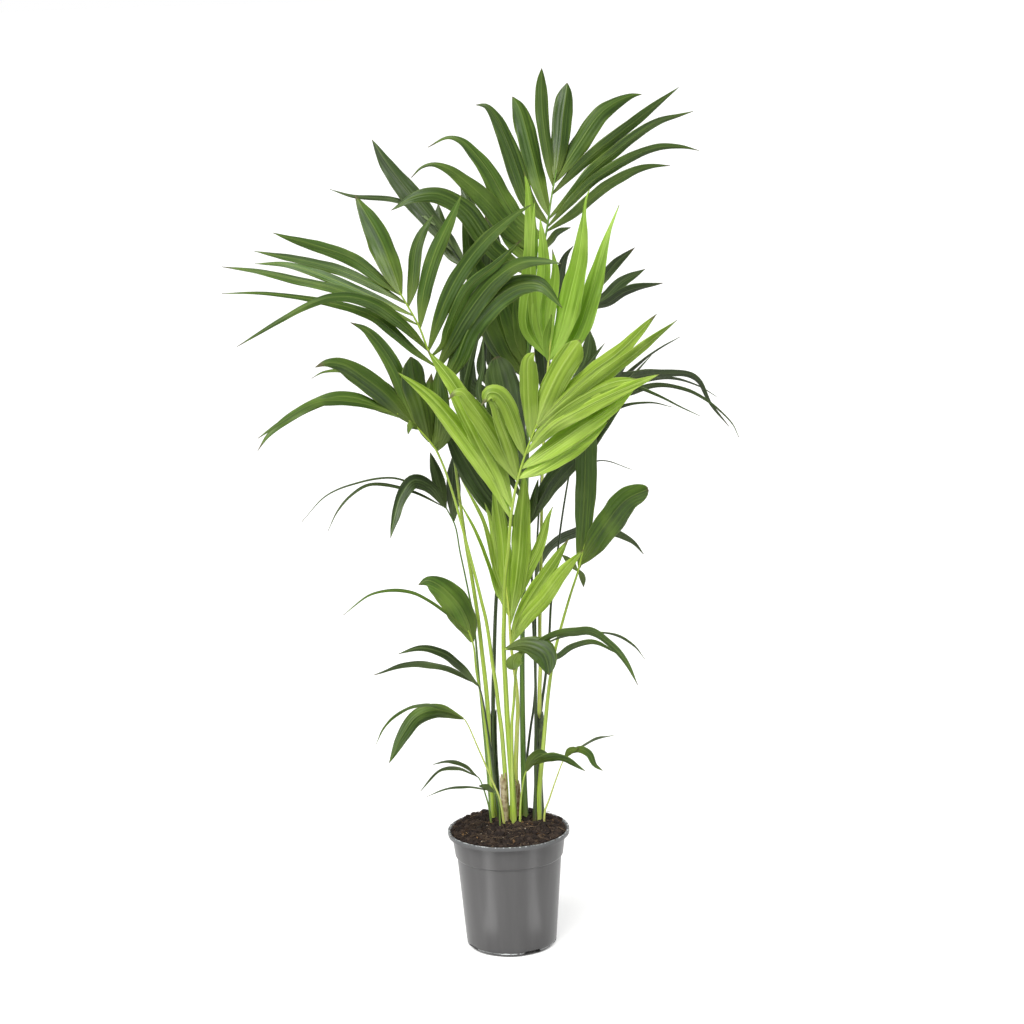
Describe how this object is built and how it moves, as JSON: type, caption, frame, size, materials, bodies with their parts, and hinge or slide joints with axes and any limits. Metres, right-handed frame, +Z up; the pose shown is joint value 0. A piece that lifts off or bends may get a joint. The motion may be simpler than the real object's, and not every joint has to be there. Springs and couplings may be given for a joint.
{
  "type": "potted palm",
  "caption": "Kentia-type palm with long-stalked feather fronds, standing in soil in a grey plastic nursery pot.",
  "frame": {"origin": "middle of the pot's underside, on the surface that the pot stands on", "axes": "+Z up along the pot's axis, -Y towards the plant's front, +X to the right of someone facing the front"},
  "size_m": [0.7271, 0.5452, 1.2791],
  "materials": {
    "pot_plastic": "satin",
    "potting_soil": "matte",
    "leaf_dark": "satin",
    "leaf_green": "satin",
    "leaf_bright": "satin",
    "dry_fibre": "matte",
    "sheath_green": "satin"
  },
  "bodies": {
    "root": {"pot": "pot_plastic", "soil": "potting_soil", "frond_top": "leaf_dark", "frond_back_left": "leaf_dark", "frond_upper_left": "leaf_green", "frond_young": "leaf_bright", "frond_right_back": "leaf_dark", "frond_right_arching": "leaf_dark", "frond_front": "leaf_bright", "frond_dark": "leaf_dark", "frond_left": "leaf_green", "frond_lower_front": "leaf_bright", "frond_right_lower": "leaf_dark", "frond_left_dark": "leaf_dark", "frond_left_low": "leaf_green", "frond_left_pair": "leaf_dark", "frond_left_small": "leaf_green", "frond_left_lowest": "leaf_dark", "frond_seedling_left": "leaf_dark", "frond_lower_right": "leaf_dark", "frond_small_right": "leaf_green", "frond_seedling_right": "leaf_dark", "dry_sheath_left": "dry_fibre", "dry_sheath_middle": "dry_fibre", "young_sheath": "sheath_green"}
  },
  "joints": []
}
